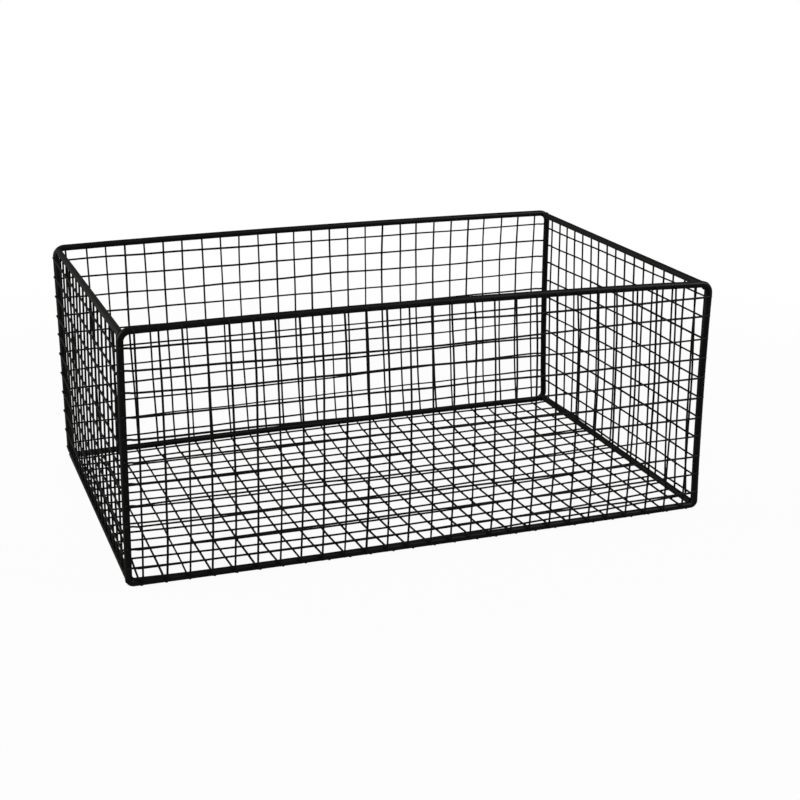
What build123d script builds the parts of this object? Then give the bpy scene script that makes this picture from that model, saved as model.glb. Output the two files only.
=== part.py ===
"""Wire locker basket: a welded frame of thick round rod, closed on five sides by welded wire mesh.

Two closed rings of rod stand at the front and the back, and four side rods are butt-welded between
their round corners. Each wall, and the floor, is one sheet of crossed wires on the outside of that
frame. The inner wires of a sheet are welded to the rods at their ends. The outer wires lie across
them, and step in at their ends to reach the rods too. The top is open.

Millimetres. X runs along the width, Y from front to back and Z up. The origin is the middle of the
footprint, on the surface that the basket stands on.
"""
import os
from math import cos, pi

from build123d import *

# Frame of rod: outside sizes over the rods
frame_width = 350.0
frame_depth = 220.0
frame_height = 144.0
rod_diameter = 4.0
rod_side_count = 16
ring_bend_radius = 5.5
weld_set_down = 0.8

# Mesh wire and the steps at the wires' ends
wire_diameter = 1.2
wire_side_count = 6
seat_run = 2.5
bend_run = 3.0
trim_overhang = 0.4
post_clearance = 0.3

# Pitch of each set of wires
wall_upright_pitch = 12.7
wall_cross_pitch = 12.3
side_upright_pitch = 12.35
side_cross_pitch = 12.6
floor_width_pitch = 12.5
floor_depth_pitch = 12.78

# Where a set of wires starts, as a share of the room that its pitch leaves over
centred_share = 0.5
back_upright_share = 0.1
left_cross_share = 0.27
right_cross_share = 0.05
floor_width_share = 0.93
floor_depth_share = 0.95

# Centre lines of the rods
rod_radius = rod_diameter / 2
wire_radius = wire_diameter / 2
ring_width = frame_width - rod_diameter
ring_height = frame_height - rod_diameter
ring_spacing = frame_depth - rod_diameter

# The side rods meet the rings at the middle of the corner bends, inside the square corner
corner_inset = ring_bend_radius * (1 - cos(pi / 4))
side_rod_span = ring_width - 2 * corner_inset
side_rod_rise = ring_height - 2 * corner_inset

# The faces of the frame that the wires seat on
floor_face = 2 * wire_diameter
front_face = frame_depth / 2
side_face = frame_width / 2
frame_middle = floor_face + frame_height / 2

# Axes of the two layers of a sheet, outwards from the face that it seats on
inner_layer = wire_radius
outer_layer = wire_diameter + wire_radius

# The least distance of a wire from the centre line of the rod beside it
beside_rod = rod_radius + post_clearance + wire_radius
beyond_bend = ring_bend_radius + wire_radius
# An inner wire nearer to a ring than this would meet the stepped ends of the outer wires
step_zone = seat_run + bend_run + wire_radius

# How far out wires may lie on the walls and the floor, from the middle
last_beside_post = ring_spacing / 2 - beside_rod
last_before_step = ring_spacing / 2 - step_zone
last_upright = ring_width / 2 - step_zone
last_depth_wire = ring_width / 2 - beyond_bend
last_wall_cross = ring_height / 2 - beyond_bend
last_side_cross = ring_height / 2 - beside_rod


def places(low, high, pitch, share):
    """Places of a set of wires at a given pitch between two limits."""
    count = int((high - low) / pitch)
    first = low + share * (high - low - count * pitch)
    return [first + number * pitch for number in range(count + 1)]


def even_places(low, high, pitch):
    """Places of a set of wires from limit to limit, as near to the pitch as they divide evenly."""
    count = round((high - low) / pitch)
    return [low + (high - low) * number / count for number in range(count + 1)]


def rod_section():
    """Section of the rod, with flats where the wires seat on it."""
    RegularPolygon(rod_radius, rod_side_count, major_radius=False, rotation=90 - 180 / rod_side_count)


def wire_section():
    """Section of the mesh wire, with a flat towards the frame."""
    RegularPolygon(wire_radius, wire_side_count, major_radius=False, rotation=90 - 180 / wire_side_count)


def stepped_wire(span, reach, step):
    """A wire along X that lies on rods at both ends of the span, and stands off by the step between."""
    end = span / 2 + reach
    seat = span / 2 - seat_run
    bend = seat - bend_run
    with BuildPart() as wire:
        with BuildLine(Plane.XZ):
            left_end = (-end, -step), (-seat, -step), (-bend, 0)
            right_end = (bend, 0), (seat, -step), (end, -step)
            route = Polyline(*left_end, *right_end)
        with BuildSketch(Plane(route @ 0, x_dir=(0, 1, 0), z_dir=route % 0)):
            wire_section()
        sweep(transition=Transition.RIGHT)
    return wire.part


def on_wall(side, z):
    """Place of a wire along X on the outside of the front wall (side -1) or the back wall (side 1)."""
    return Plane((0, side * (front_face + outer_layer), z), x_dir=(1, 0, 0), z_dir=(0, side, 0))


def on_side(side, layer, y, z, along):
    """Place of a wire on the outside of the left wall (side -1) or the right wall (side 1)."""
    return Plane((side * (side_face + layer), y, z), x_dir=along, z_dir=(side, 0, 0))


def under_floor(layer, x, y, along):
    """Place of a wire under the floor."""
    return Plane((x, y, floor_face - layer), x_dir=along, z_dir=(0, 0, -1))


# Rings of rod, bent to a closed loop
with BuildPart() as front_ring:
    with BuildLine(Plane.XZ.offset(ring_spacing / 2)):
        ring_route = FilletPolyline(
            (-ring_width / 2, frame_middle - ring_height / 2),
            (ring_width / 2, frame_middle - ring_height / 2),
            (ring_width / 2, frame_middle + ring_height / 2),
            (-ring_width / 2, frame_middle + ring_height / 2),
            radius=ring_bend_radius,
            close=True,
        )
    with BuildSketch(Plane(ring_route @ 0, x_dir=(0, 1, 0), z_dir=ring_route % 0)):
        rod_section()
    sweep()
front_ring.part.label = "front_ring"

with BuildPart() as back_ring:
    with Locations((0, ring_spacing, 0)):
        add(front_ring.part)
back_ring.part.label = "back_ring"


# Side rods, whose ends are cut to the round of the rings that they are welded to
def side_rod(side, level):
    """A rod from ring to ring at a corner: side -1 is left, and level -1 is the bottom."""
    with BuildPart() as rod:
        with BuildSketch(Plane.XZ):
            with Locations((side * side_rod_span / 2, frame_middle + level * side_rod_rise / 2)):
                rod_section()
        extrude(amount=ring_spacing / 2 - rod_radius + weld_set_down, both=True)
        add(front_ring.part, mode=Mode.SUBTRACT)
        add(back_ring.part, mode=Mode.SUBTRACT)
    return rod.part


left_bottom_rod = side_rod(-1, -1)
left_top_rod = side_rod(-1, 1)
right_bottom_rod = side_rod(1, -1)
right_top_rod = side_rod(1, 1)
left_bottom_rod.label = "left_bottom_rod"
left_top_rod.label = "left_top_rod"
right_bottom_rod.label = "right_bottom_rod"
right_top_rod.label = "right_top_rod"

# Front and back walls: straight uprights on the rails, and cross wires stepped in to the posts
front_upright_places = places(-last_upright, last_upright, wall_upright_pitch, centred_share)
back_upright_places = places(-last_upright, last_upright, wall_upright_pitch, back_upright_share)
wall_cross_places = places(-last_wall_cross, last_wall_cross, wall_cross_pitch, centred_share)
wall_cross_wire = stepped_wire(ring_width, rod_radius + trim_overhang, wire_diameter)

with BuildPart() as front_uprights:
    with BuildSketch(Plane.XY.offset(floor_face - trim_overhang)):
        with Locations(*[(x, -front_face - inner_layer) for x in front_upright_places]):
            wire_section()
    extrude(amount=frame_height + 2 * trim_overhang)
front_uprights.part.label = "front_uprights"

with BuildPart() as back_uprights:
    with BuildSketch(Plane.XY.offset(floor_face - trim_overhang)):
        with Locations(*[(x, front_face + inner_layer) for x in back_upright_places]):
            wire_section()
    extrude(amount=frame_height + 2 * trim_overhang)
back_uprights.part.label = "back_uprights"

with BuildPart() as front_cross_wires:
    with Locations(*[on_wall(-1, frame_middle + z) for z in wall_cross_places]):
        add(wall_cross_wire)
front_cross_wires.part.label = "front_cross_wires"

with BuildPart() as back_cross_wires:
    with Locations(*[on_wall(1, frame_middle + z) for z in wall_cross_places]):
        add(wall_cross_wire)
back_cross_wires.part.label = "back_cross_wires"

# Side walls: uprights stepped in to the side rods, and cross wires stepped in to the posts
side_upright_places = even_places(-last_beside_post, last_beside_post, side_upright_pitch)
open_side_places = [y for y in side_upright_places if abs(y) <= last_before_step]
edge_side_places = [y for y in side_upright_places if abs(y) > last_before_step]
left_cross_places = places(-last_side_cross, last_side_cross, side_cross_pitch, left_cross_share)
right_cross_places = places(-last_side_cross, last_side_cross, side_cross_pitch, right_cross_share)

side_upright = stepped_wire(side_rod_rise, rod_radius + trim_overhang, corner_inset)
side_edge_upright = stepped_wire(side_rod_rise, rod_radius + trim_overhang, corner_inset - wire_diameter)
side_cross_wire = stepped_wire(ring_spacing, rod_radius, wire_diameter)

upward = (0, 0, 1)
rightward = (1, 0, 0)
backward = (0, 1, 0)
edge_layer = inner_layer - wire_diameter

with BuildPart() as left_uprights:
    with Locations(*[on_side(-1, inner_layer, y, frame_middle, upward) for y in open_side_places]):
        add(side_upright)
left_uprights.part.label = "left_uprights"

with BuildPart() as right_uprights:
    with Locations(*[on_side(1, inner_layer, y, frame_middle, upward) for y in open_side_places]):
        add(side_upright)
right_uprights.part.label = "right_uprights"

with BuildPart() as left_edge_uprights:
    with Locations(*[on_side(-1, edge_layer, y, frame_middle, upward) for y in edge_side_places]):
        add(side_edge_upright)
left_edge_uprights.part.label = "left_edge_uprights"

with BuildPart() as right_edge_uprights:
    with Locations(*[on_side(1, edge_layer, y, frame_middle, upward) for y in edge_side_places]):
        add(side_edge_upright)
right_edge_uprights.part.label = "right_edge_uprights"

with BuildPart() as left_cross_wires:
    with Locations(*[on_side(-1, outer_layer, 0, frame_middle + z, backward) for z in left_cross_places]):
        add(side_cross_wire)
left_cross_wires.part.label = "left_cross_wires"

with BuildPart() as right_cross_wires:
    with Locations(*[on_side(1, outer_layer, 0, frame_middle + z, backward) for z in right_cross_places]):
        add(side_cross_wire)
right_cross_wires.part.label = "right_cross_wires"

# Floor: width wires stepped up to the side rods, and depth wires under them stepped up to the rings
floor_width_places = places(-last_before_step, last_beside_post, floor_width_pitch, floor_width_share)
open_floor_places = [y for y in floor_width_places if y <= last_before_step]
edge_floor_places = [y for y in floor_width_places if y > last_before_step]
floor_depth_places = places(-last_depth_wire, last_depth_wire, floor_depth_pitch, floor_depth_share)

floor_width_wire = stepped_wire(side_rod_span, rod_radius, corner_inset)
floor_edge_wire = stepped_wire(side_rod_span, rod_radius, corner_inset - wire_diameter)
floor_depth_wire = stepped_wire(ring_spacing, rod_radius, wire_diameter)

with BuildPart() as floor_width_wires:
    with Locations(*[under_floor(inner_layer, 0, y, rightward) for y in open_floor_places]):
        add(floor_width_wire)
floor_width_wires.part.label = "floor_width_wires"

with BuildPart() as floor_edge_wires:
    with Locations(*[under_floor(edge_layer, 0, y, rightward) for y in edge_floor_places]):
        add(floor_edge_wire)
floor_edge_wires.part.label = "floor_edge_wires"

with BuildPart() as floor_depth_wires:
    with Locations(*[under_floor(outer_layer, x, 0, backward) for x in floor_depth_places]):
        add(floor_depth_wire)
floor_depth_wires.part.label = "floor_depth_wires"

os.makedirs("parts", exist_ok=True)
for piece in (
    front_ring.part,
    back_ring.part,
    left_bottom_rod,
    left_top_rod,
    right_bottom_rod,
    right_top_rod,
    front_uprights.part,
    front_cross_wires.part,
    back_uprights.part,
    back_cross_wires.part,
    left_uprights.part,
    left_edge_uprights.part,
    left_cross_wires.part,
    right_uprights.part,
    right_edge_uprights.part,
    right_cross_wires.part,
    floor_width_wires.part,
    floor_edge_wires.part,
    floor_depth_wires.part,
):
    export_step(piece, f"parts/{piece.label}.step")
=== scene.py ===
"""Wire locker basket, dressed: round rods and wires, their welds, and the small bends of a basket
that was welded by hand."""
from math import cos, pi, radians

import bpy
from mathutils import Matrix, Vector


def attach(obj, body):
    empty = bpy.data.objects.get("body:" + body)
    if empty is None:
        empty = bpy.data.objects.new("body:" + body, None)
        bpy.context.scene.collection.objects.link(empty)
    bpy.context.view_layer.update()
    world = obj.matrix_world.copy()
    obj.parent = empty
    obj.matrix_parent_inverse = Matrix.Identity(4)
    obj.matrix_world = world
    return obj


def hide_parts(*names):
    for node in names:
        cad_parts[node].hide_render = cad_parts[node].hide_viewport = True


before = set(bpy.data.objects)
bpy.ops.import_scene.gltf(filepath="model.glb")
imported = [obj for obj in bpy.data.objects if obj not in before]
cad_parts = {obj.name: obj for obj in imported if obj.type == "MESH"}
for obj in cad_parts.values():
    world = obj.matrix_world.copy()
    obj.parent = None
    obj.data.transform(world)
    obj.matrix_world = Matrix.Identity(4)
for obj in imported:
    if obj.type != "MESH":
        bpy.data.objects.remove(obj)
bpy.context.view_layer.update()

mm = 0.001

# Sizes of the rod frame and the mesh, the same as the solids'
frame_width = 350 * mm
frame_depth = 220 * mm
frame_height = 144 * mm
rod_radius = 2 * mm
ring_bend_radius = 5.5 * mm
wire_radius = 0.6 * mm
seat_run = 2.5 * mm
bend_run = 3 * mm
post_clearance = 0.3 * mm
weld_set_down = 0.8 * mm

# Pitch of each set of wires. The side uprights take the nearest one that divides the side evenly
wall_upright_pitch = 12.7 * mm
wall_cross_pitch = 12.3 * mm
side_upright_pitch = 12.35 * mm
side_cross_pitch = 12.6 * mm
floor_width_pitch = 12.5 * mm
floor_depth_pitch = 12.78 * mm

# Where a set of wires starts, as a share of the room that its pitch leaves over
centred_share = 0.5
back_upright_share = 0.1
left_cross_share = 0.27
right_cross_share = 0.05
floor_width_share = 0.93
floor_depth_share = 0.95

# Sizes that only the dressed basket has
front_bottom_bend_radius = 2.8 * mm
floor_bend_run = 9 * mm
floor_pull = 1.2 * mm
floor_pull_run = 20 * mm
floor_sag = 0.9 * mm
floor_rise_power = 2.1
floor_fade_run = 12 * mm
edge_wire_shift = 2 * mm
post_zone_start = 90 * mm
post_zone_run = 15 * mm
right_post_bow = 0.9 * mm

# How far the ends of a set of wires reach past their span. Below zero they stop short of it
wall_upright_reach = -1.1 * mm
wall_cross_reach = 0.6 * mm
side_upright_reach = 0.1 * mm
side_cross_reach = -0.8 * mm
floor_width_reach = 0.6 * mm
floor_depth_reach = -1 * mm

# A wire's end is cut a little narrower, over a very short run
cut_run = 0.1 * mm
cut_share = 0.8

# Welds: the one where two wires cross, and how much larger or smaller the others are
weld_radius = 0.72 * mm
weld_squeeze = 0.6
weld_sink = 0.3 * mm
rod_weld_size = 1.15
side_crossing_size = 0.9
side_post_weld_size = 0.95
side_post_weld_inset = 1 * mm

# The weld bead at a side rod's end: where it starts from the ring's middle, and each stretch of it
# as a run in mm and how much wider the bead is at its end than at its start
bead_start = 0.9 * mm
bead_stretches = ((0.5, 1.2), (0.5, 1.04), (0.5, 0.95), (0.5, 0.88), (0.3, 0.93))

# Waver of the wires: how far they stray, and over what length of wire
slow_waver = (0.3 * mm, 140 * mm)
faint_waver = (0.14 * mm, 38 * mm)
waver_apart = 11 * mm
waver_gain = 6
waver_seed_steps = (0.37, 0.61, 0.23)
front_seed, back_seed, left_seed, right_seed = 1, 5, 9, 13
floor_depth_seed, floor_width_seed = 17, 19

# How finely the rods, wires and welds are modelled
rod_sides = 24
bead_sides = 16
wire_sides = 8
weld_segments = 8
weld_rings = 5
rod_stretch = 7 * mm
wire_stretch = 6 * mm
bend_steps = 8
step_parts = 4
merge_distance = 0.01 * mm
smooth_angle = radians(50)

# How many points the cages that bend the pieces have, along X, Y and Z
seating_points = (2, 2, 2)
side_points = (2, 45, 31)
pull_points = (2, 61, 2)
dish_points = (21, 9, 2)
dish_between_points = (21, 41, 2)
settling_points = (11, 5, 7)
points_where_uneven = 7

# Middles of the rods, and the faces of the frame that the wires seat on
wire_diameter = 2 * wire_radius
ring_width = frame_width - 2 * rod_radius
ring_height = frame_height - 2 * rod_radius
ring_spacing = frame_depth - 2 * rod_radius
rail_reach = ring_spacing / 2
corner_inset = ring_bend_radius * (1 - cos(pi / 4))
side_rod_span = ring_width - 2 * corner_inset
side_rod_rise = ring_height - 2 * corner_inset
floor_face = 2 * wire_diameter
front_face = frame_depth / 2
side_face = frame_width / 2
frame_middle = floor_face + frame_height / 2
bottom_rail = frame_middle - ring_height / 2
bottom_side_rod = frame_middle - side_rod_rise / 2

# Layers of a sheet of mesh, outwards from the face that it seats on
inner_layer = wire_radius
outer_layer = wire_diameter + wire_radius
edge_layer = inner_layer - wire_diameter

# The furthest places that wires can take beside the posts and the bends
beside_rod = rod_radius + post_clearance + wire_radius
beyond_bend = ring_bend_radius + wire_radius
step_zone = seat_run + bend_run + wire_radius
last_beside_post = rail_reach - beside_rod
last_before_step = rail_reach - step_zone
last_upright = ring_width / 2 - step_zone
last_depth_wire = ring_width / 2 - beyond_bend
last_wall_cross = ring_height / 2 - beyond_bend
last_side_cross = ring_height / 2 - beside_rod


def places(low, high, pitch, share):
    """First place, pitch and number of a set of wires between two limits."""
    count = int((high - low) / pitch)
    return low + share * (high - low - count * pitch), pitch, count + 1


front_upright_row = places(-last_upright, last_upright, wall_upright_pitch, centred_share)
back_upright_row = places(-last_upright, last_upright, wall_upright_pitch, back_upright_share)
wall_cross_row = places(-last_wall_cross, last_wall_cross, wall_cross_pitch, centred_share)
side_gaps = round(2 * last_beside_post / side_upright_pitch)
side_gap = 2 * last_beside_post / side_gaps
side_upright_row = (side_gap - last_beside_post, side_gap, side_gaps - 1)
side_edge_row = (-last_beside_post, 2 * last_beside_post, 2)
left_cross_row = places(-last_side_cross, last_side_cross, side_cross_pitch, left_cross_share)
right_cross_row = places(-last_side_cross, last_side_cross, side_cross_pitch, right_cross_share)
floor_width_row = places(-last_before_step, last_beside_post, floor_width_pitch, floor_width_share)
floor_depth_row = places(-last_depth_wire, last_depth_wire, floor_depth_pitch, floor_depth_share)


# Hand tools
def deselect():
    """Leaves nothing selected."""
    bpy.ops.object.select_all(action="DESELECT")


def take(piece):
    """Selects one piece alone."""
    deselect()
    piece.select_set(True)
    bpy.context.view_layer.objects.active = piece


def finish_with(piece, kind, **settings):
    """Adds a modifier to a piece and applies it."""
    take(piece)
    modifier = piece.modifiers.new(kind.title(), kind)
    for name, value in settings.items():
        setattr(modifier, name, value)
    bpy.ops.object.modifier_apply(modifier=modifier.name)


def start_section(radius, sides, place, turn):
    """Adds the round section of a rod or wire at a place, and opens it for editing."""
    deselect()
    bpy.ops.mesh.primitive_circle_add(vertices=sides, radius=radius, location=place, rotation=turn)
    bpy.ops.object.transform_apply()
    bpy.ops.object.mode_set(mode="EDIT")
    bpy.ops.mesh.select_all(action="SELECT")


def carry(*moves):
    """Extrudes the selected section by each move in turn."""
    for move in moves:
        bpy.ops.mesh.extrude_region_move(TRANSFORM_OT_translate={"value": move})


def carry_evenly(move, stretch):
    """Extrudes the selected section by a move, in stretches of about one length."""
    move = Vector(move)
    count = max(1, round(move.length / stretch))
    carry(*[move / count] * count)


def close_mesh(name, loop=False):
    """Closes the piece in hand, turns its faces outwards and leaves edit mode."""
    bpy.ops.mesh.select_all(action="SELECT")
    if loop:
        bpy.ops.mesh.remove_doubles(threshold=merge_distance)
    else:
        bpy.ops.mesh.fill_holes(sides=0)
    bpy.ops.mesh.select_all(action="SELECT")
    bpy.ops.mesh.normals_make_consistent(inside=False)
    bpy.ops.object.mode_set(mode="OBJECT")
    piece = bpy.context.object
    piece.name = name
    bpy.ops.object.shade_smooth_by_angle(angle=smooth_angle)
    return piece


def turned_copy(piece, name, turn):
    """A copy of a piece with a mesh of its own, turned about the basket's upright middle line."""
    take(piece)
    bpy.ops.object.duplicate()
    copy = bpy.context.object
    copy.name = name
    copy.matrix_world = Matrix.Rotation(turn, 4, "Z")
    bpy.ops.object.transform_apply()
    return copy


def lay_out(piece, *rows):
    """Repeats a piece at an even pitch in one or more rows: each an axis, a pitch and a number."""
    for axis, pitch, number in rows:
        offset = [0, 0, 0]
        offset["XYZ".index(axis)] = pitch
        finish_with(
            piece, "ARRAY", count=number, use_relative_offset=False,
            use_constant_offset=True, constant_offset_displace=offset,
        )


def join(name, *pieces):
    """Makes one piece of several."""
    take(pieces[0])
    for piece in pieces[1:]:
        piece.select_set(True)
    bpy.ops.object.join()
    pieces[0].name = name
    return pieces[0]


# Rod frame
def ring(name, side, bottom_bend_radius):
    """A closed ring of rod round the front (side -1) or the back (side 1)."""
    y = side * rail_reach
    top_run = ring_width - 2 * ring_bend_radius
    bottom_run = ring_width - 2 * bottom_bend_radius
    post_run = ring_height - ring_bend_radius - bottom_bend_radius
    start_section(rod_radius, rod_sides, (-bottom_run / 2, y, bottom_rail), (0, pi / 2, 0))
    runs = (
        (bottom_run, 0, 1, -1, bottom_bend_radius),
        (0, post_run, 1, 1, ring_bend_radius),
        (-top_run, 0, -1, 1, ring_bend_radius),
        (0, -post_run, -1, -1, bottom_bend_radius),
    )
    for run_x, run_z, corner_x, corner_z, bend in runs:
        carry_evenly((run_x, 0, run_z), rod_stretch)
        centre_x = corner_x * (ring_width / 2 - bend)
        centre_z = frame_middle + corner_z * (ring_height / 2 - bend)
        centre = (centre_x, y, centre_z)
        bpy.ops.mesh.spin(steps=bend_steps, angle=pi / 2, center=centre, axis=(0, 1, 0))
    return close_mesh(name, loop=True)


def side_rod_place(side, level):
    """X and Z of a side rod: side -1 is left, and level -1 is the bottom."""
    return side * side_rod_span / 2, frame_middle + level * side_rod_rise / 2


def side_rod(name, side, level):
    """A rod from ring to ring at a corner."""
    x, z = side_rod_place(side, level)
    reach = rail_reach - rod_radius + weld_set_down
    start_section(rod_radius, rod_sides, (x, -reach, z), (pi / 2, 0, 0))
    carry_evenly((0, 2 * reach, 0), rod_stretch)
    return close_mesh(name)


def corner_bead(side, level):
    """The weld bead round the front end of a side rod."""
    x, z = side_rod_place(side, level)
    start_section(rod_radius, bead_sides, (x, bead_start - rail_reach, z), (pi / 2, 0, 0))
    for run, spread in bead_stretches:
        carry((0, run * mm, 0))
        bpy.ops.transform.resize(value=(spread, 1, spread), center_override=(x, 0, z))
    return close_mesh("corner_bead")


# Mesh wires: each is drawn along X, Y or Z, and steps towards the frame at both ends
axis_turn = {"X": (0, pi / 2, 0), "Y": (pi / 2, 0, 0), "Z": (0, 0, 0)}
axis_step = {"X": Vector((1, 0, 0)), "Y": Vector((0, 1, 0)), "Z": Vector((0, 0, 1))}


def mesh_wire(name, axis, middle, span, reach, inward=(0, 0, 0), step_run=bend_run):
    """A wire over a span from rod to rod, whose ends reach a little past it or stop a little short.

    Inward is its step towards the frame at both ends, which it takes over a short run.
    """
    along = axis_step[axis]
    middle, inward = Vector(middle), Vector(inward)
    start = middle - along * (span / 2 + reach) + inward
    end = middle + along * (span / 2 + reach) + inward
    cut = along * cut_run
    seat = along * (seat_run + reach - cut_run)
    rise = [(1 - cos(pi * number / step_parts)) / 2 for number in range(step_parts + 1)]
    rises = [high - low for low, high in zip(rise, rise[1:])]
    start_section(wire_radius, wire_sides, start, axis_turn[axis])
    bpy.ops.transform.resize(value=[cut_share] * 3, center_override=start)
    carry(cut)
    bpy.ops.transform.resize(value=[1 / cut_share] * 3, center_override=start + cut)
    carry(seat, *[along * step_run / step_parts - inward * part for part in rises])
    carry_evenly(along * (span - 2 * (seat_run + step_run)), wire_stretch)
    carry(*[along * step_run / step_parts + inward * part for part in rises], seat, cut)
    bpy.ops.transform.resize(value=[cut_share] * 3, center_override=end)
    return close_mesh(name)


def weld(name, place, flat, size=1.0):
    """A small weld on a wire, squeezed along the axis on which it meets a wire or a rod."""
    deselect()
    bpy.ops.mesh.primitive_uv_sphere_add(
        segments=weld_segments, ring_count=weld_rings, radius=weld_radius * size, location=place
    )
    bpy.ops.object.transform_apply()
    bpy.ops.object.mode_set(mode="EDIT")
    bpy.ops.mesh.select_all(action="SELECT")
    squeeze = [weld_squeeze if axis == flat else 1.0 for axis in "XYZ"]
    bpy.ops.transform.resize(value=squeeze, center_override=place)
    bpy.ops.object.mode_set(mode="OBJECT")
    bpy.ops.object.shade_smooth()
    piece = bpy.context.object
    piece.name = name
    return piece


# Bends: a cage round some pieces carries them along when its points are moved
def cage_bend(bent, low, high, counts, shift):
    """Bends pieces with a cage over a box, with a number of points along X, Y and Z.

    Shift gives how far the cage moves at a place.
    """
    low, high = Vector(low), Vector(high)
    deselect()
    bpy.ops.object.add(type="LATTICE", location=(low + high) / 2)
    cage = bpy.context.object
    cage.scale = high - low
    cage.data.points_u, cage.data.points_v, cage.data.points_w = counts
    for way in "uvw":
        setattr(cage.data, f"interpolation_type_{way}", "KEY_CARDINAL")
    for point in cage.data.points:
        place = (low + high) / 2 + (high - low) * Vector(point.co)
        move = shift(place)
        point.co_deform = Vector(point.co) + Vector(m / s for m, s in zip(move, cage.scale))
    bpy.context.view_layer.update()
    for piece in bent:
        finish_with(piece, "LATTICE", object=cage)
    take(cage)
    bpy.ops.object.delete()


cage_low = Vector((-180, -115, -4)) * mm
cage_high = Vector((180, 115, 150)) * mm
side_cage_margin = 5 * mm
side_cage_top = 148 * mm
floor_cage_low = (-side_face, -front_face, -1 * mm)
floor_cage_high = (side_face, front_face, 7 * mm)
half_reach = {"X": ring_width / 2, "Y": rail_reach, "Z": ring_height / 2}
rod_centre = {"X": 0, "Y": 0, "Z": frame_middle}


def share_along(place, axis):
    """Where a place lies along an axis, from 0 to 1 between the middles of the frame's rods."""
    return ((place["XYZ".index(axis)] - rod_centre[axis]) / half_reach[axis] + 1) / 2


def bow_share(share):
    """How much of a bow is reached at a share of a length: none at its ends, all in its middle."""
    return 4 * share * (1 - share)


def pillow(across, along):
    """How much of a sheet's swell is reached at a place, which runs from -1 to 1 both ways."""
    return max(0, 1 - across ** 2) * max(0, 1 - along ** 2)


def smooth(share):
    """Eases a share between 0 and 1."""
    share = min(1, max(0, share))
    return share * share * (3 - 2 * share)


def across_set(first, middle, last, share):
    """A value that runs smoothly through three, at the first, middle and last wire of a set."""
    rest = 1 - share
    return first * rest * (rest - share) + middle * 4 * share * rest + last * share * (share - rest)


def lie_uneven(bent, run, way, start, end, bow):
    """Moves the wires of a set off their even places, as a sheet of mesh is never laid quite true.

    The wires run along one axis and move along another. Start, end and bow give the moves in mm at
    a wire's start, its end and its middle, each for the first, middle and last wire of the set.
    """
    way_index = "XYZ".index(way)

    def shift(place):
        along, across = share_along(place, run), share_along(place, way)
        at_ends = across_set(*start, across) * (1 - along) + across_set(*end, across) * along
        move = Vector()
        move[way_index] = mm * (at_ends + across_set(*bow, across) * bow_share(along))
        return move

    counts = [points_where_uneven if axis in (run, way) else 2 for axis in "XYZ"]
    cage_bend(bent, cage_low, cage_high, counts, shift)


def waver(sheet, run, way, reach, stretch, seed):
    """Makes the wires of a sheet slightly uneven, each in its own way, as they lie between welds.

    The wires run along one axis and stray along another. The drift is read round a marker, whose
    size gives the length of its waves along a wire and from wire to wire.
    """
    deselect()
    bpy.ops.object.empty_add(location=[seed * step for step in waver_seed_steps])
    marker = bpy.context.object
    wave_of = {run: stretch, way: waver_apart}
    marker.scale = [wave_of.get(axis, 1) for axis in "XYZ"]
    drift = bpy.data.textures.new("drift", "CLOUDS")
    drift.noise_scale = 1
    drift.noise_depth = 0
    for piece in sheet:
        finish_with(
            piece, "DISPLACE", texture=drift, texture_coords="OBJECT", texture_coords_object=marker,
            direction=way, strength=reach * waver_gain, mid_level=0.5,
        )
    take(marker)
    bpy.ops.object.delete()
    bpy.data.textures.remove(drift)


def waver_twice(sheet, run, way, seed):
    """A long slow waver and a short faint one."""
    waver(sheet, run, way, *slow_waver, seed)
    waver(sheet, run, way, *faint_waver, seed + 1)


# The basket's pieces, each under the name of the node that it stands for
pieces = {
    "front_ring": ring("front_ring_rod", -1, front_bottom_bend_radius),
    "back_ring": ring("back_ring_rod", 1, ring_bend_radius),
}

# How far a side rod's front end and back end sit off the middles of the rings' bends, in mm
side_rod_lie = {
    "left_top_rod": ((-0.7, 0, -0.45), (0, 0, 0)),
    "left_bottom_rod": ((-0.8, 0, -0.5), (-0.9, 0, -0.6)),
    "right_top_rod": ((0, 0, 0), (0, 0, 0)),
    "right_bottom_rod": ((0.1, 0, -0.5), (0.2, 0, -0.3)),
}


def seated(front_end, back_end):
    """The shift of a side rod whose ends sit off the middles of the bends."""
    def shift(place):
        return Vector(front_end).lerp(Vector(back_end), share_along(place, "Y")) * mm
    return shift


beads = []
for side, where in ((-1, "left"), (1, "right")):
    for level, height in ((-1, "bottom"), (1, "top")):
        node = f"{where}_{height}_rod"
        rod = side_rod(f"{where}_{height}_side_rod", side, level)
        front_bead = corner_bead(side, level)
        back_bead = turned_copy(front_bead, "back_bead", pi)
        rod_and_beads = [rod, front_bead, back_bead]
        cage_bend(rod_and_beads, cage_low, cage_high, seating_points, seated(*side_rod_lie[node]))
        pieces[node] = rod
        beads += [front_bead, back_bead]
corner_beads = join("corner_weld_beads", *beads)

# How the sheets of mesh lie: the start, end and bow of each set of wires, as lie_uneven takes them.
# The front and the back have uprights and cross wires
wall_lie = {
    "front": (
        ((-0.2, -1.3, -2.3), (-1.0, -2.4, -2.9), (1.1, 2.1, 2.2)),
        ((0.9, -0.1, 0.7), (1.0, 0.7, 2.2), (-0.1, -1.2, -3.3)),
    ),
    "back": (
        ((1.0, 1.5, 0.8), (0.6, -0.2, 0.7), (0.2, -0.6, -0.9)),
        ((-1.3, 0.0, -0.1), (-1.0, 1.0, -0.4), (-0.4, -1.4, -1.6)),
    ),
}
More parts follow.
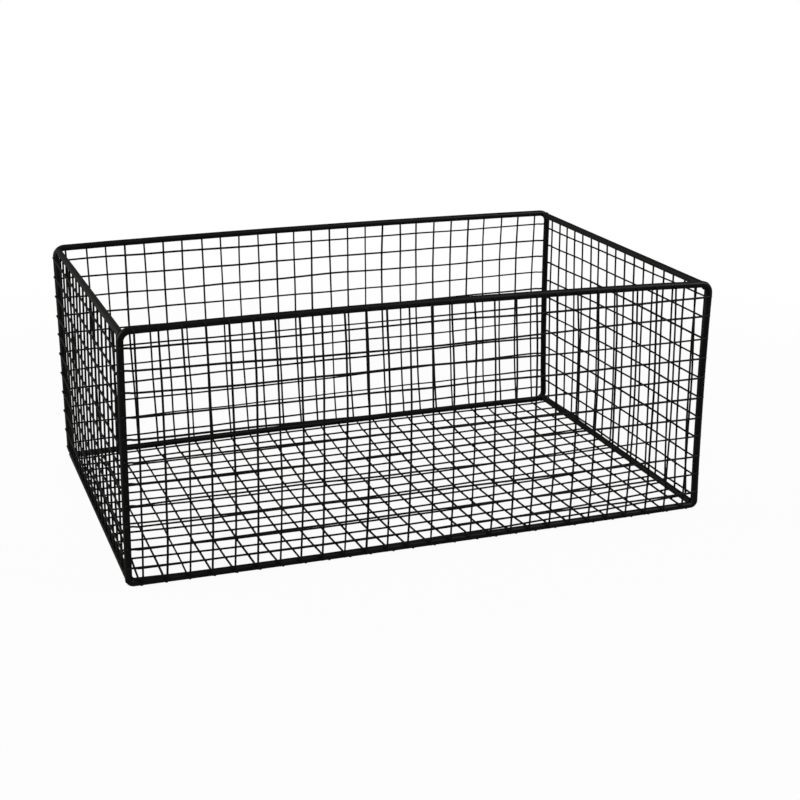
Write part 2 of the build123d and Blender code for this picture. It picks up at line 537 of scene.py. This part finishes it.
# The sides have uprights, edge uprights and cross wires
side_lie = {
    "left": (
        ((-1.0, 0.4, 1.5), (-1.5, -5.8, -8.5), (0, 0, 0)),
        ((0, 0, 0), (0, -1.5, -3.0), (0, 0, 0)),
        ((0.1, -1.0, -1.3), (1.1, 2.7, 2.9), (0, 0, 0)),
    ),
    "right": (
        ((-4.7, -1.9, -7.3), (-0.3, 0.5, -5.7), (1.3, -0.2, 1.0)),
        ((2.0, -1.2, -4.5), (2.0, -1.2, -4.5), (0, 0, 0)),
        ((0.6, 1.5, 1.2), (-2.5, -1.1, -0.8), (0.5, 0.4, 0)),
    ),
}
floor_depth_lie = ((-0.4, 2.4, 0), (-2.2, 1.6, -1.8), (2.9, -3.6, -0.5))
floor_width_lie = ((-5, 0.4, -3), (5, 0.8, -4), (-1.5, -3, 4.2))

# How far each side sheet swells in its middle, and how much more at its top and at its back, in mm
swell_of = {"left": (1.1, -0.7, 0), "right": (1.5, -0.6, 1.1)}

# Front and back walls: straight uprights on the rails, and wires across them that step in to the
# posts
welds = []
walls = (
    (-1, "front", front_upright_row, front_seed),
    (1, "back", back_upright_row, back_seed),
)
for side, where, (first_x, pitch_x, count_x), seed in walls:
    first_z, pitch_z, count_z = wall_cross_row
    first_level = frame_middle + first_z
    face = side * front_face
    middle = (first_x, side * (front_face + inner_layer), frame_middle)
    uprights = mesh_wire(f"{where}_upright_wires", "Z", middle, frame_height, wall_upright_reach)
    lay_out(uprights, ("X", pitch_x, count_x))
    pieces[f"{where}_uprights"] = uprights
    middle = (0, side * (front_face + outer_layer), first_level)
    inward = (0, -side * wire_diameter, 0)
    cross = mesh_wire(f"{where}_crossing_wires", "X", middle, ring_width, wall_cross_reach, inward)
    lay_out(cross, ("Z", pitch_z, count_z))
    pieces[f"{where}_cross_wires"] = cross
    crossing_y = side * (front_face + wire_diameter)
    crossings = weld("crossing", (first_x, crossing_y, first_level), "Y")
    lay_out(crossings, ("X", pitch_x, count_x), ("Z", pitch_z, count_z))
    on_rails = weld("on_rails", (first_x, face, bottom_rail), "Y", rod_weld_size)
    lay_out(on_rails, ("X", pitch_x, count_x), ("Z", ring_height, 2))
    on_posts = weld("on_posts", (-ring_width / 2, face, first_level), "Y")
    lay_out(on_posts, ("X", ring_width, 2), ("Z", pitch_z, count_z))
    upright_lie, cross_lie = wall_lie[where]
    waver_twice([uprights, crossings, on_rails], "Z", "X", seed)
    waver_twice([cross, crossings, on_posts], "X", "Z", seed + 2)
    lie_uneven([uprights, crossings, on_rails], "Z", "X", *upright_lie)
    lie_uneven([cross, crossings, on_posts], "X", "Z", *cross_lie)
    welds.append(join(f"{where}_welds", crossings, on_rails, on_posts))


def side_sheet(side, swell):
    """The shift of a side wall's sheet. It lies on the side rods, which sit further in than the
    posts, and swells between them."""
    in_middle, at_top, at_back = swell

    def shift(place):
        rise = (place.z - frame_middle) / (side_rod_rise / 2)
        depth = place.y / rail_reach
        by_post = smooth((abs(place.y) - post_zone_start) / post_zone_run)
        by_rod = min(1, rise ** 4)
        inset = weld_sink + corner_inset - (corner_inset - wire_diameter) * by_post * (1 - by_rod)
        out = (in_middle + at_top * rise + at_back * depth) * pillow(rise, depth)
        return Vector((side * (out * mm - inset), 0, 0))
    return shift


# Side walls: two sets of uprights, of which one lies beside the posts, and wires across them
side_walls = (
    (-1, "left", left_cross_row, left_seed),
    (1, "right", right_cross_row, right_seed),
)
for side, where, (first_z, pitch_z, count_z), seed in side_walls:
    first_level = frame_middle + first_z
    face = side * side_face
    inner_x = side * (side_face + inner_layer)
    crossing_x = side * (side_face + wire_diameter)
    upright_lie, edge_lie, cross_lie = side_lie[where]
    upright_sets = (
        ("uprights", "upright_wires", side_upright_row, upright_lie),
        ("edge_uprights", "edge_upright_wires", side_edge_row, edge_lie),
    )
    sheet, side_crossings, side_welds = [], [], []
    for node, name, (first_y, pitch_y, count_y), lie in upright_sets:
        middle = (inner_x, first_y, frame_middle)
        uprights = mesh_wire(f"{where}_{name}", "Z", middle, side_rod_rise, side_upright_reach)
        lay_out(uprights, ("Y", pitch_y, count_y))
        pieces[f"{where}_{node}"] = uprights
        crossings = weld("crossing", (crossing_x, first_y, first_level), "X", side_crossing_size)
        lay_out(crossings, ("Y", pitch_y, count_y), ("Z", pitch_z, count_z))
        on_rods = weld("on_rods", (face, first_y, bottom_side_rod), "X", rod_weld_size)
        lay_out(on_rods, ("Y", pitch_y, count_y), ("Z", side_rod_rise, 2))
        upright_set = [uprights, crossings, on_rods]
        waver_twice(upright_set, "Z", "Y", seed)
        lie_uneven(upright_set, "Z", "Y", *lie)
        sheet += upright_set
        side_crossings.append(crossings)
        side_welds += [crossings, on_rods]
    middle = (side * (side_face + outer_layer), 0, first_level)
    cross = mesh_wire(f"{where}_crossing_wires", "Y", middle, ring_spacing, side_cross_reach)
    lay_out(cross, ("Z", pitch_z, count_z))
    pieces[f"{where}_cross_wires"] = cross
    on_post_y = rail_reach - side_post_weld_inset
    on_posts = weld("on_posts", (crossing_x, -on_post_y, first_level), "X", side_post_weld_size)
    lay_out(on_posts, ("Y", 2 * on_post_y, 2), ("Z", pitch_z, count_z))
    cross_set = [cross, on_posts, *side_crossings]
    waver_twice(cross_set, "Y", "Z", seed + 2)
    lie_uneven(cross_set, "Y", "Z", *cross_lie)
    sheet += [cross, on_posts]
    sheet_low = (face - side_cage_margin, -front_face, 0)
    sheet_high = (face + side_cage_margin, front_face, side_cage_top)
    cage_bend(sheet, sheet_low, sheet_high, side_points, side_sheet(side, swell_of[where]))
    welds.append(join(f"{where}_welds", on_posts, *side_welds))

# Floor: wires from left to right, and wires from front to back under them that step up to the rails
first_x, pitch_x, count_x = floor_depth_row
first_y, pitch_y, count_y = floor_width_row
edge_y = first_y + (count_y - 1) * pitch_y - edge_wire_shift
middle = (0, first_y, floor_face - inner_layer)
width_wires = mesh_wire("floor_width_wire_set", "X", middle, side_rod_span, floor_width_reach)
lay_out(width_wires, ("Y", pitch_y, count_y - 1))
pieces["floor_width_wires"] = width_wires
middle = (0, edge_y, floor_face - edge_layer)
upward = (0, 0, corner_inset - wire_diameter)
edge_wire = mesh_wire("floor_edge_wire_set", "X", middle, side_rod_span, floor_width_reach, upward)
pieces["floor_edge_wires"] = edge_wire
middle = (first_x, 0, floor_face - outer_layer)
upward = (0, 0, wire_diameter + weld_sink)
depth_wires = mesh_wire(
    "floor_depth_wire_set", "Y", middle, ring_spacing, floor_depth_reach, upward, floor_bend_run
)
lay_out(depth_wires, ("X", pitch_x, count_x))
pieces["floor_depth_wires"] = depth_wires
crossings = weld("crossing", (first_x, first_y, floor_face - wire_diameter), "Z")
lay_out(crossings, ("X", pitch_x, count_x), ("Y", pitch_y, count_y - 1))
on_edge = weld("on_edge", (first_x, edge_y, floor_face), "Z")
lay_out(on_edge, ("X", pitch_x, count_x))
on_rails = weld("on_rails", (first_x, -rail_reach, floor_face), "Z", rod_weld_size)
lay_out(on_rails, ("X", pitch_x, count_x), ("Y", ring_spacing, 2))
on_rods = weld("on_rods", (-side_rod_span / 2, first_y, floor_face), "Z", rod_weld_size)
lay_out(on_rods, ("X", side_rod_span, 2), ("Y", pitch_y, count_y - 1))
waver_twice([depth_wires, crossings, on_rails, on_edge], "Y", "X", floor_depth_seed)
waver_twice([width_wires, crossings, on_rods], "X", "Y", floor_width_seed)
lie_uneven([depth_wires, crossings, on_rails, on_edge], "Y", "X", *floor_depth_lie)
lie_uneven([width_wires, crossings, on_rods], "X", "Y", *floor_width_lie)


def pull_left(place):
    """How far the depth wires are pulled to the left as they rise to the back rail."""
    pull_start = rail_reach - seat_run - floor_pull_run
    return Vector((-floor_pull * smooth((place.y - pull_start) / floor_pull_run), 0, 0))


def dish(place):
    """How far the width wires rise towards the side rods, less their sag in the floor's middle."""
    across = abs(place.x) / (side_rod_span / 2)
    deep = abs(place.y) / rail_reach
    rise = (corner_inset - weld_sink) * across ** floor_rise_power
    return Vector((0, 0, rise - floor_sag * pillow(across, deep)))


def dish_between_rails(place):
    """The same rise under the depth wires, which ends at the rails."""
    return dish(place) * smooth((last_before_step - abs(place.y)) / floor_fade_run + 0.5)


floor_cage = (floor_cage_low, floor_cage_high)
cage_bend([depth_wires, on_rails, on_edge], *floor_cage, pull_points, pull_left)
cage_bend([width_wires, crossings, on_rods], *floor_cage, dish_points, dish)
cage_bend([depth_wires], *floor_cage, dish_between_points, dish_between_rails)
crossings = join("floor_crossing_welds", crossings, on_rods)
rail_welds = join("floor_rail_welds", on_rails, on_edge)

# The whole frame, which the welding has pulled a little out of square: how far its corners have
# moved, and how far its rails bow upwards, in mm
corner_moves = {
    ("left", "front", "bottom"): (-0.9, 1.0, -0.1),
    ("right", "front", "bottom"): (0.5, 0.0, -0.2),
    ("left", "front", "top"): (1.0, 0.0, 0.8),
    ("right", "front", "top"): (-0.2, -1.5, -0.9),
    ("left", "back", "bottom"): (-0.2, -1.5, -0.2),
    ("right", "back", "bottom"): (1.1, 1.5, 1.6),
    ("left", "back", "top"): (-1.3, -1.5, -0.2),
    ("right", "back", "top"): (-1.2, 1.5, 0.7),
}
rail_bows = {
    ("front", "top"): 2.0,
    ("back", "top"): 1.3,
    ("back", "bottom"): 1.0,
    ("front", "bottom"): -0.5,
}


def settle(place):
    """How far the welded frame has pulled out of square at a place, and how far its rods bow."""
    right, back, top = (share_along(place, axis) for axis in "XYZ")
    shares = {
        "right": right, "left": 1 - right,
        "back": back, "front": 1 - back,
        "top": top, "bottom": 1 - top,
    }
    move = Vector()
    for (across, deep, level), corner in corner_moves.items():
        move += Vector(corner) * (shares[across] * shares[deep] * shares[level])
    for (deep, level), bow in rail_bows.items():
        move.z += bow * bow_share(right) * shares[deep] * shares[level]
    move *= mm
    move.x -= right_post_bow * bow_share(top) * right
    return move


weld_pieces = [corner_beads, *welds, crossings, rail_welds]
every_piece = [*pieces.values(), *weld_pieces]
cage_bend(every_piece, cage_low, cage_high, settling_points, settle)


# Paint
class Signal:
    """A value that runs through a material's nodes. Arithmetic on it adds Math nodes."""

    def __init__(self, tree, socket=None):
        self.tree = tree
        self.socket = socket

    def node(self, kind, settings=None, inputs=None, output=0):
        """Adds a node, with its settings first and then the values or links of its sockets."""
        made = self.tree.nodes.new(kind)
        for name, value in (settings or {}).items():
            setattr(made, name, value)
        for name, value in (inputs or {}).items():
            if isinstance(value, Signal):
                self.tree.links.new(value.socket, made.inputs[name])
            else:
                made.inputs[name].default_value = value
        return Signal(self.tree, made.outputs[output] if made.outputs else None)

    def math(self, operation, first, second):
        """Adds a Math node on two values."""
        return self.node("ShaderNodeMath", {"operation": operation}, {0: first, 1: second})

    def __add__(self, other):
        return self.math("ADD", self, other)

    def __mul__(self, other):
        return self.math("MULTIPLY", self, other)

    __radd__ = __add__
    __rmul__ = __mul__

    def between(self, low, high):
        """This value, from 0 to 1 where it runs from low to high."""
        return self.node(
            "ShaderNodeMapRange", {"interpolation_type": "SMOOTHSTEP"},
            {"Value": self, "From Min": low, "From Max": high},
        )

    def mix(self, first, second):
        """A colour from first to second by this value. A Mix node's colours are 6 and 7."""
        settings = {"data_type": "RGBA"}
        return self.node("ShaderNodeMix", settings, {0: self, 6: first, 7: second}, output=2)


def new_material(name):
    """An empty material and its start signal."""
    material = bpy.data.materials.new(name)
    material.use_nodes = True
    material.node_tree.nodes.clear()
    return material, Signal(material.node_tree)


deep_black = (0.003, 0.003, 0.0032, 1)
dusty_black = (0.007, 0.0066, 0.0062, 1)
patch_scale = 45.0
speck_scale = 900.0
dull_from_to = (0.42, 0.66)
speck_from_to = (0.66, 0.74)
skin_depth = 0.06 * mm


def black_paint(name, roughness, grain):
    """Satin black powder paint: a fine skin like orange peel, and a little dulling in patches."""
    material, start = new_material(name)
    place = start.node("ShaderNodeTexCoord", output="Object")

    def noise(scale, detail):
        inputs = {"Vector": place, "Scale": scale, "Detail": detail}
        return start.node("ShaderNodeTexNoise", None, inputs)

    peel = noise(1 / grain, 2.0)
    patches = noise(patch_scale, 4.0)
    specks = noise(speck_scale, 2.0)
    dull = patches.between(*dull_from_to)
    speck = specks.between(*speck_from_to)
    skin = {"Height": peel + specks * 0.3, "Strength": 0.25, "Distance": skin_depth}
    shader = start.node("ShaderNodeBsdfPrincipled", None, {
        "Base Color": (dull * 0.8 + speck * 0.3).mix(deep_black, dusty_black),
        "Roughness": dull * 0.12 + speck * 0.1 + roughness,
        "Specular IOR Level": 0.35,
        "Normal": start.node("ShaderNodeBump", None, skin),
    })
    start.node("ShaderNodeOutputMaterial", None, {"Surface": shader})
    return material


rod_paint = black_paint("rod_paint", 0.42, 0.9 * mm)
wire_paint = black_paint("wire_paint", 0.48, 0.6 * mm)
for piece in every_piece:
    piece.data.materials.clear()
    piece.data.materials.append(wire_paint)
for node, piece in pieces.items():
    if node.endswith(("ring", "rod")):
        piece.data.materials[0] = rod_paint
corner_beads.data.materials[0] = rod_paint

# Studio: pale paper under and behind, white to the camera and duller in the paint's gloss
white = (1, 1, 1, 1)
pale_paper = (0.95, 0.95, 0.95, 1)
shaded_paper = (0.3, 0.3, 0.3, 1)
studio_tone = (0.11, 0.11, 0.11, 1)
floor_level = -0.8 * mm
floor_size = 8
near_white = 0.96
near_white_from_to = (0.2, 0.8)
paper_in_gloss = 0.05
studio_in_gloss = 0.02


def rays(start):
    """Whether a ray comes from the camera, and whether it comes off a glossy surface."""
    return [
        start.node("ShaderNodeLightPath", output=ray) for ray in ("Is Camera Ray", "Is Glossy Ray")
    ]


deselect()
bpy.ops.mesh.primitive_plane_add(size=floor_size, location=(0, 0, floor_level))
floor = bpy.context.object
floor.name = "studio_floor"
floor_paper, start = new_material("studio_paper")
seen, mirrored = rays(start)
paper_colour = seen.mix(shaded_paper, pale_paper)
paper = start.node("ShaderNodeBsdfDiffuse", None, {"Color": paper_colour})
glow = start.node("ShaderNodeEmission", None, {"Color": white, "Strength": 1.0})
place = start.node("ShaderNodeTexCoord", output="Object")
from_basket = start.node(
    "ShaderNodeVectorMath", {"operation": "LENGTH"}, {0: place}, output="Value"
)
whiteness = from_basket.between(*near_white_from_to) * (1 - near_white) + near_white
glow_share = seen * whiteness + mirrored * paper_in_gloss
mixed = start.node("ShaderNodeMixShader", None, {0: glow_share, 1: paper, 2: glow})
start.node("ShaderNodeOutputMaterial", None, {"Surface": mixed})
floor.data.materials.append(floor_paper)

world = bpy.data.worlds.new("studio")
bpy.context.scene.world = world
world.use_nodes = True
world.node_tree.nodes.clear()
start = Signal(world.node_tree)
seen, mirrored = rays(start)
tone = (seen + mirrored * studio_in_gloss).mix(studio_tone, white)
sky = start.node("ShaderNodeBackground", None, {"Color": tone, "Strength": 1.0})
start.node("ShaderNodeOutputWorld", None, {"Surface": sky})

basket_middle = Vector((0, 0, 0.07))


def soft_lamp(name, place, size, watts, colour=(1, 1, 1)):
    """A square lamp that faces the basket's middle."""
    data = bpy.data.lights.new(name, "AREA")
    data.size = size
    data.energy = watts
    data.color = colour
    lamp = bpy.data.objects.new(name, data)
    bpy.context.scene.collection.objects.link(lamp)
    lamp.location = place
    lamp.rotation_euler = (basket_middle - Vector(place)).to_track_quat("-Z", "Y").to_euler()


soft_lamp("key", (1.5, -1.0, 1.45), size=0.9, watts=13)
soft_lamp("warm_side", (-1.6, 0.5, 0.8), size=1.4, watts=16, colour=(1, 0.93, 0.85))

# Camera: its lens, place and turn follow from the frame's eight corners in the photograph
picture_width = 800
half_a_pixel = 0.5 / picture_width
camera_place = (-0.29499, -0.85883, 0.35256)
camera_turn = Matrix((
    (0.93903, 0.10214, -0.32832),
    (-0.34380, 0.29269, -0.89226),
    (0.00496, 0.95074, 0.30996),
))
camera_data = bpy.data.cameras.new("camera")
camera = bpy.data.objects.new("camera", camera_data)
bpy.context.scene.collection.objects.link(camera)
camera_data.lens = 68.294
camera_data.sensor_width = 36
camera_data.shift_x = -half_a_pixel
camera_data.shift_y = half_a_pixel
camera.matrix_world = Matrix.Translation(camera_place) @ camera_turn.to_4x4()
bpy.context.scene.camera = camera
bpy.context.scene.view_settings.view_transform = "Standard"

for node, piece in pieces.items():
    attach(piece, "root")
    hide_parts(node)
for piece in weld_pieces:
    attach(piece, "root")
    "frame_rod" if piece == corner_beads else "mesh_wire"
